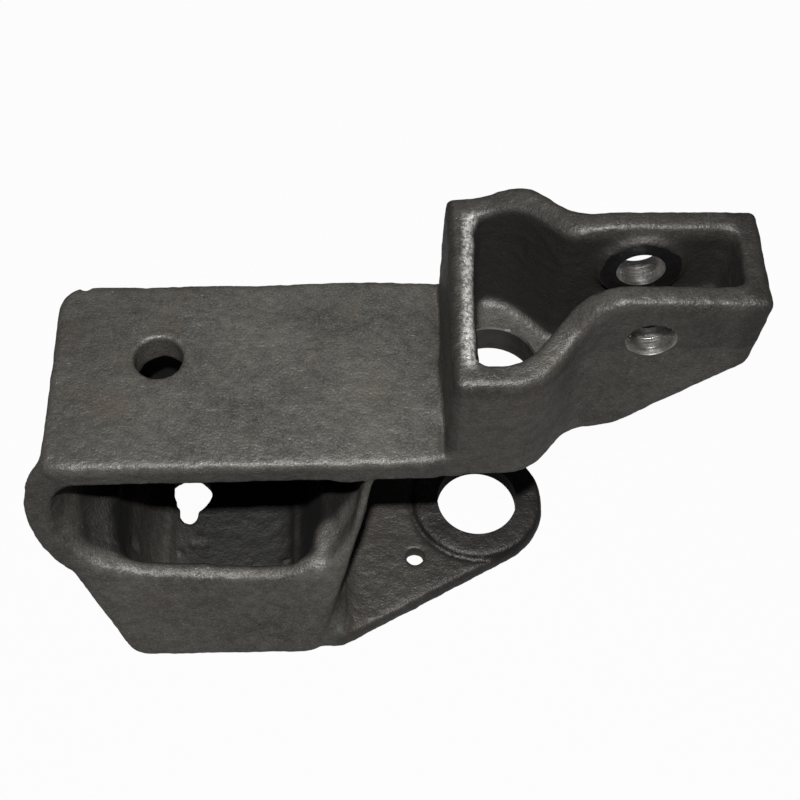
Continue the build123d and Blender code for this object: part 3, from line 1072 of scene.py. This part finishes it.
    def shape(self, body: bpy.types.Object) -> None:
        """Gives the skin the casting's soft forms: its hollows' roots, its rounded edges and roots.

        Args:
            body: The casting.
        """
        skin = Skin(body.data)
        for form in self.forms:
            skin.points = form.move(skin.points / MM) * MM
        roots, edges = self.corner_radii(skin.points)
        skin.round_off(self.voxel, roots, edges, self.round_passes)
        skin.relax(self.relax_passes, 1.0)
        skin.relax(self.splay_passes, Splay().share(skin.points / MM))
        skin.write()

    def wave(self, body: bpy.types.Object) -> None:
        """Makes the surface uneven: slow swells, small lumps and listed dents.

        Args:
            body: The casting.
        """
        for name, size, strength in self.waves:
            texture = bpy.data.textures.new(name, type="CLOUDS")
            texture.noise_scale = size * MM
            texture.noise_depth = 2
            displace = body.modifiers.new(name, "DISPLACE")
            displace.texture = texture
            displace.texture_coords = "LOCAL"
            displace.strength = strength * MM
            displace.mid_level = self.wave_middle
        apply_all(body)
        points = read_points(body.data) / MM
        for dent in self.dents:
            points = dent.move(points)
        points = Groove().move(points) * MM
        low, high = (np.array(corner) for corner in cad_box)
        points = np.clip(points, low + self.box_margin, high - self.box_margin)
        write_points(body.data, points)

    def thin_out(self, body: bpy.types.Object) -> None:
        """Takes out the faces that the shape doesn't need.

        Args:
            body: The casting.
        """
        thin = body.modifiers.new("thin", "DECIMATE")
        thin.ratio = self.faces / (2.0 * len(body.data.polygons))
        apply_all(body)

    def cut(self, body: bpy.types.Object, cutters: list[bpy.types.Object]) -> None:
        """Cuts the body with closed cutters that don't touch each other.

        Args:
            body: The casting.
            cutters: The cutters, which are used up.
        """
        cutter = join(cutters)
        boolean = body.modifiers.new("bore", "BOOLEAN")
        boolean.operation = "DIFFERENCE"
        boolean.solver = "EXACT"
        boolean.material_mode = "TRANSFER"
        boolean.object = cutter
        apply_all(body)
        bpy.data.objects.remove(cutter)

    def build(self, node: bpy.types.Object, finishes: dict[Finish, bpy.types.Material]) -> bpy.types.Object:
        """Builds the casting.

        Args:
            node: The frame's own object.
            finishes: The material of each finish.

        Returns:
            The finished piece.
        """
        body = self.copy_solid(node)
        body = join([body] + [bore.plug(self.plug_spare) for bore in self.bores()])
        self.draw_skin(body)
        log.info("skin of %d faces", len(body.data.polygons))
        self.shape(body)
        self.wave(body)
        self.thin_out(body)
        body.data.materials.append(finishes[Finish.CAST])
        for bores in ([self.spotface()], self.bores()):
            self.cut(body, [bore.cutter(finishes[bore.finish]) for bore in bores])
        take(body)
        bpy.ops.object.shade_smooth_by_angle(angle=math.radians(self.smooth_angle_deg))
        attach(body, "root")
        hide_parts("bracket")
        return body


@dataclass
class Studio:
    """The floor, the lamps and the camera."""

    focal_mm: float = 63.08
    sensor_mm: float = 36.0
    place: tuple[float, float, float] = (-0.0491, -0.3235, 0.6052)
    elevation_deg: float = 57.38
    azimuth_deg: float = 2.0
    roll_deg: float = 0.8
    floor_z: float = -0.2 * MM
    floor_width: float = 8.0
    floor_white: float = 0.97
    mirrored_white: float = 0.06
    far_limit: float = 50.0
    paper: float = 0.12
    air: float = 0.062
    flash_place: tuple[float, float, float] = (-0.05, -0.352, 0.86)
    flash_aim: tuple[float, float, float] = (-0.05, 0.0, 0.08)
    flash_size: float = 0.03
    flash_power: float = 19.0

    def build_camera(self) -> bpy.types.Object:
        """Makes the camera that looks at the bracket as the photograph does.

        Returns:
            The camera's object.
        """
        elevation = math.radians(self.elevation_deg)
        azimuth = math.radians(self.azimuth_deg)
        roll = math.radians(self.roll_deg)
        level = math.cos(elevation)
        forward = Vector((math.sin(azimuth) * level, math.cos(azimuth) * level, -math.sin(elevation)))
        right = Vector((math.cos(azimuth), -math.sin(azimuth), 0.0))
        up = right.cross(forward)
        turned_right = right * math.cos(roll) + up * math.sin(roll)
        turned_up = up * math.cos(roll) - right * math.sin(roll)
        data = bpy.data.cameras.new("camera")
        data.lens = self.focal_mm
        data.sensor_width = self.sensor_mm
        data.clip_end = self.far_limit
        camera = bpy.data.objects.new("camera", data)
        bpy.context.scene.collection.objects.link(camera)
        turn = Matrix((turned_right, turned_up, -forward)).transposed()
        camera.matrix_world = Matrix.Translation(Vector(self.place)) @ turn.to_4x4()
        bpy.context.scene.camera = camera
        return camera

    def build_floor(self) -> bpy.types.Object:
        """Makes the plain pale floor, which keeps a faint shadow.

        Returns:
            The floor's object.
        """
        deselect_all()
        bpy.ops.mesh.primitive_plane_add(size=self.floor_width, location=(0.0, 0.0, self.floor_z))
        floor = bpy.context.object
        settle(floor)
        floor.name = "floor"
        sheet = NodeSheet("floor_paper")
        sheet.feed(sheet.shader.inputs["Base Color"], (self.paper, self.paper, self.paper))
        sheet.feed(sheet.shader.inputs["Roughness"], 0.9)
        rays = sheet.add("ShaderNodeLightPath", {}, {}).outputs
        camera = Wire(sheet, rays["Is Camera Ray"])
        glossy = Wire(sheet, rays["Is Glossy Ray"])
        through = Wire(sheet, rays["Is Transmission Ray"])
        white = sheet.add("ShaderNodeEmission", {}, {"Color": (1.0, 1.0, 1.0), "Strength": 1.0})
        share = camera * self.floor_white + (glossy + through) * self.mirrored_white
        ends = {0: share, 1: sheet.shader.outputs[0], 2: white.outputs[0]}
        mix = sheet.add("ShaderNodeMixShader", {}, ends)
        sheet.tree.links.new(mix.outputs[0], sheet.tree.nodes["Material Output"].inputs["Surface"])
        floor.data.materials.append(sheet.material)
        return floor

    def build_light(self) -> None:
        """Makes the flash over the camera and the pale air around."""
        scene = bpy.context.scene
        world = bpy.data.worlds.new("studio_air")
        world.use_nodes = True
        tree = world.node_tree
        background = tree.nodes["Background"]
        background.inputs["Color"].default_value = (1.0, 1.0, 1.0, 1.0)
        rays = tree.nodes.new("ShaderNodeLightPath")
        strength = tree.nodes.new("ShaderNodeMapRange")
        strength.inputs["To Min"].default_value = self.air
        strength.inputs["To Max"].default_value = 1.0
        tree.links.new(rays.outputs["Is Camera Ray"], strength.inputs["Value"])
        tree.links.new(strength.outputs[0], background.inputs["Strength"])
        scene.world = world
        light = bpy.data.lights.new("flash", "AREA")
        light.size = self.flash_size
        light.energy = self.flash_power
        lamp = bpy.data.objects.new("flash", light)
        scene.collection.objects.link(lamp)
        lamp.location = self.flash_place
        aim = Vector(self.flash_aim) - lamp.location
        lamp.rotation_euler = aim.to_track_quat("-Z", "Y").to_euler()


def behind_front(points: np.ndarray) -> np.ndarray:
    """Measures how far points lie behind the column's leaning front.

    Args:
        points: The points, one a row, in millimetres.

    Returns:
        The distance in millimetres for each point.
    """
    lean = math.hypot(FRONT_SLOPE, 1.0)
    return (points[:, 1] - FRONT_TOE_Y - points[:, 2] * FRONT_SLOPE) / lean


def ramp(values: np.ndarray, start: float, end: float) -> np.ndarray:
    """Rises evenly from 0 at start to 1 at end, which may lie below start.

    Args:
        values: The values.
        start: The value that gives 0.
        end: The value that gives 1.

    Returns:
        A number from 0 to 1 for each value.
    """
    return np.clip((values - start) / (end - start), 0.0, 1.0)


def read_points(mesh: bpy.types.Mesh) -> np.ndarray:
    """Reads a mesh's points.

    Args:
        mesh: The mesh.

    Returns:
        The points, one a row, in metres.
    """
    flat = np.empty(len(mesh.vertices) * 3)
    mesh.vertices.foreach_get("co", flat)
    return flat.reshape(-1, 3)


def write_points(mesh: bpy.types.Mesh, points: np.ndarray) -> None:
    """Moves a mesh's points.

    Args:
        mesh: The mesh.
        points: The points, one a row, in metres.
    """
    mesh.vertices.foreach_set("co", points.ravel())
    mesh.update()


def read_quads(mesh: bpy.types.Mesh) -> np.ndarray:
    """Reads the corners of a mesh's faces, with a triangle's last corner twice.

    Args:
        mesh: The mesh.

    Returns:
        Four point numbers for each face.
    """
    starts = np.empty(len(mesh.polygons), dtype=np.int64)
    sizes = np.empty(len(mesh.polygons), dtype=np.int64)
    loops = np.empty(len(mesh.loops), dtype=np.int64)
    mesh.polygons.foreach_get("loop_start", starts)
    mesh.polygons.foreach_get("loop_total", sizes)
    mesh.loops.foreach_get("vertex_index", loops)
    return np.stack([loops[starts + np.minimum(corner, sizes - 1)] for corner in range(4)], axis=1)


def main() -> None:
    """Builds the scene and reports its pieces."""
    logging.basicConfig(level=logging.INFO, format="%(message)s")
    bpy.context.scene.view_settings.view_transform = "Standard"
    studio = Studio()
    studio.build_camera()
    studio.build_floor()
    studio.build_light()
    turned = [
        TurnedMetal(Finish.REAMED, (0.022, 0.021, 0.019), 0.50, 0.3, axis=2),
        TurnedMetal(Finish.BORED, (0.62, 0.60, 0.57), 0.32, 1.0, axis=1, pitch=0.22 * MM, depth=0.14 * MM),
        TurnedMetal(Finish.SPOTFACE, (0.006, 0.006, 0.0065), 0.38, 0.2, axis=1),
    ]
    finishes = {Finish.CAST: CastIron().dress()}
    finishes.update({metal.finish: metal.dress() for metal in turned})
    body = CastBody().build(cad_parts["bracket"], finishes)
    log.info("%s: %d faces", body.name, len(body.data.polygons))


if __name__ == "__main__":
    main()
